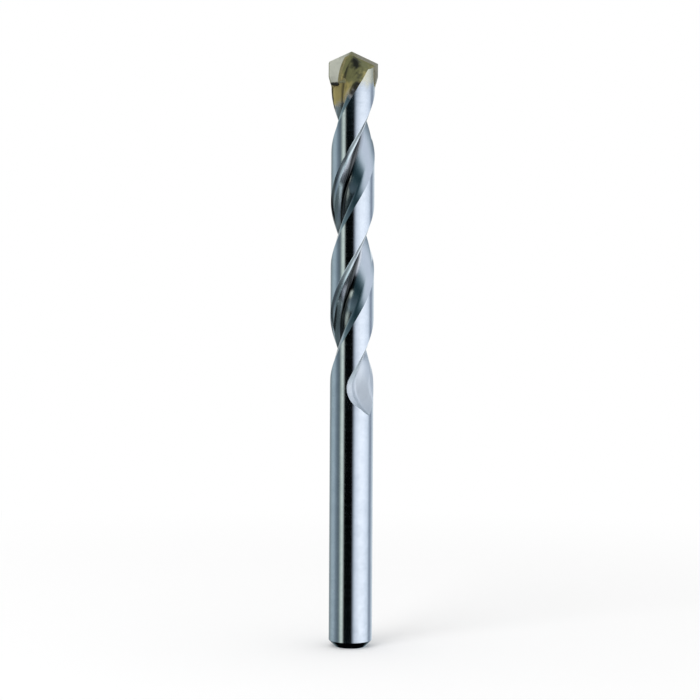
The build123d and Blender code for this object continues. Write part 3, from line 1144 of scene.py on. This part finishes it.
class DRILLBIT_OT_steel_body(bpy.types.Operator):
    """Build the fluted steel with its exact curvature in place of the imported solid"""

    bl_idname = "drillbit.steel_body"
    bl_label = "Fluted Steel Body"

    def execute(self, context):
        look = context.scene.drillbit_look
        body = placed_mesh("steel_body", fluted_bar())
        for draw in (centreless_ground_steel, form_ground_steel, torch_oxidised_steel):
            body.data.materials.append(surface(draw, look))
        reach = 2 * PLATE_RADIUS
        half_slot = HALF_PLATE + BRAZE_GAP
        low = (-reach, -half_slot, PLATE_BOTTOM - BRAZE_GAP)
        slot = block("slot", low, (reach, half_slot, LENGTH + PLATE_RADIUS))
        cut(body, [*roof_cutters(), gash_cutter(1), gash_cutter(-1), slot])
        mark_places(body.data)
        exact_normals(body.data)
        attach(body, "root")
        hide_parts("bit_body")
        return {"FINISHED"}


class DRILLBIT_OT_tip(bpy.types.Operator):
    """Give the carbide plate and its brazed joint their surfaces"""

    bl_idname = "drillbit.tip"
    bl_label = "Carbide Tip and Braze"

    def execute(self, context):
        look = context.scene.drillbit_look
        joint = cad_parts["braze_joint"].data
        joint.materials.clear()
        joint.materials.append(surface(brass_brazing_alloy, look))
        plate = worn_plate(look)
        plate.data.materials.clear()
        plate.data.materials.append(surface(sintered_tungsten_carbide, look))
        plate.data.polygons.foreach_set("material_index", [0] * len(plate.data.polygons))
        plate.data.polygons.foreach_set("use_smooth", [True] * len(plate.data.polygons))
        worn = plate.modifiers.new("worn_edges", "BEVEL")
        worn.width = look.edge_wear
        worn.segments = 3
        worn.limit_method = "ANGLE"
        worn.angle_limit = math.radians(18)
        worn.harden_normals = True
        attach(plate, "root")
        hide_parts("carbide_tip")
        return {"FINISHED"}


class DRILLBIT_OT_flux(bpy.types.Operator):
    """Add the beads of burnt flux, also painted shade, under both ends of the plate"""

    bl_idname = "drillbit.flux"
    bl_label = "Burnt Flux"

    def execute(self, context):
        look = context.scene.drillbit_look
        made = surface(burnt_flux_and_painted_shade, look)
        for side, half in (("left", 1), ("right", -1)):
            bead = placed_mesh(f"flux_and_shade_bead_{side}", flux_and_shade_bead(half, look))
            bead.data.materials.append(made)
            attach(bead, "root")
        return {"FINISHED"}


class DRILLBIT_OT_studio(bpy.types.Operator):
    """Set up the floor, what the steel mirrors, the light and the camera"""

    bl_idname = "drillbit.studio"
    bl_label = "Studio"

    def execute(self, context):
        studio = context.scene.drillbit_studio
        make_floor(studio)
        make_reflections(studio)
        make_light(studio)
        make_camera(studio)
        context.scene.view_settings.view_transform = "Standard"
        return {"FINISHED"}


class DRILLBIT_PT_sidebar(bpy.types.Panel):
    """Lists the pieces in the order in which they are made"""

    bl_idname = "DRILLBIT_PT_sidebar"
    bl_label = "Masonry Drill Bit"
    bl_space_type = "VIEW_3D"
    bl_region_type = "UI"
    bl_category = "Drill Bit"

    def draw(self, context):
        for step in OPERATORS:
            self.layout.operator(step.bl_idname)
        for group in (context.scene.drillbit_look, context.scene.drillbit_studio):
            box = self.layout.box()
            for name in group.__annotations__:
                box.prop(group, name)


OPERATORS = [DRILLBIT_OT_steel_body, DRILLBIT_OT_tip, DRILLBIT_OT_flux, DRILLBIT_OT_studio]
CLASSES = [DRILLBIT_PG_look, DRILLBIT_PG_studio, *OPERATORS, DRILLBIT_PT_sidebar]


def register():
    for made in CLASSES:
        bpy.utils.register_class(made)
    bpy.types.Scene.drillbit_look = bpy.props.PointerProperty(type=DRILLBIT_PG_look)
    bpy.types.Scene.drillbit_studio = bpy.props.PointerProperty(type=DRILLBIT_PG_studio)


def unregister():
    del bpy.types.Scene.drillbit_studio
    del bpy.types.Scene.drillbit_look
    for made in reversed(CLASSES):
        bpy.utils.unregister_class(made)


def main():
    register()
    bpy.ops.drillbit.steel_body()
    bpy.ops.drillbit.tip()
    bpy.ops.drillbit.flux()
    bpy.ops.drillbit.studio()


if __name__ == "__main__":
    main()
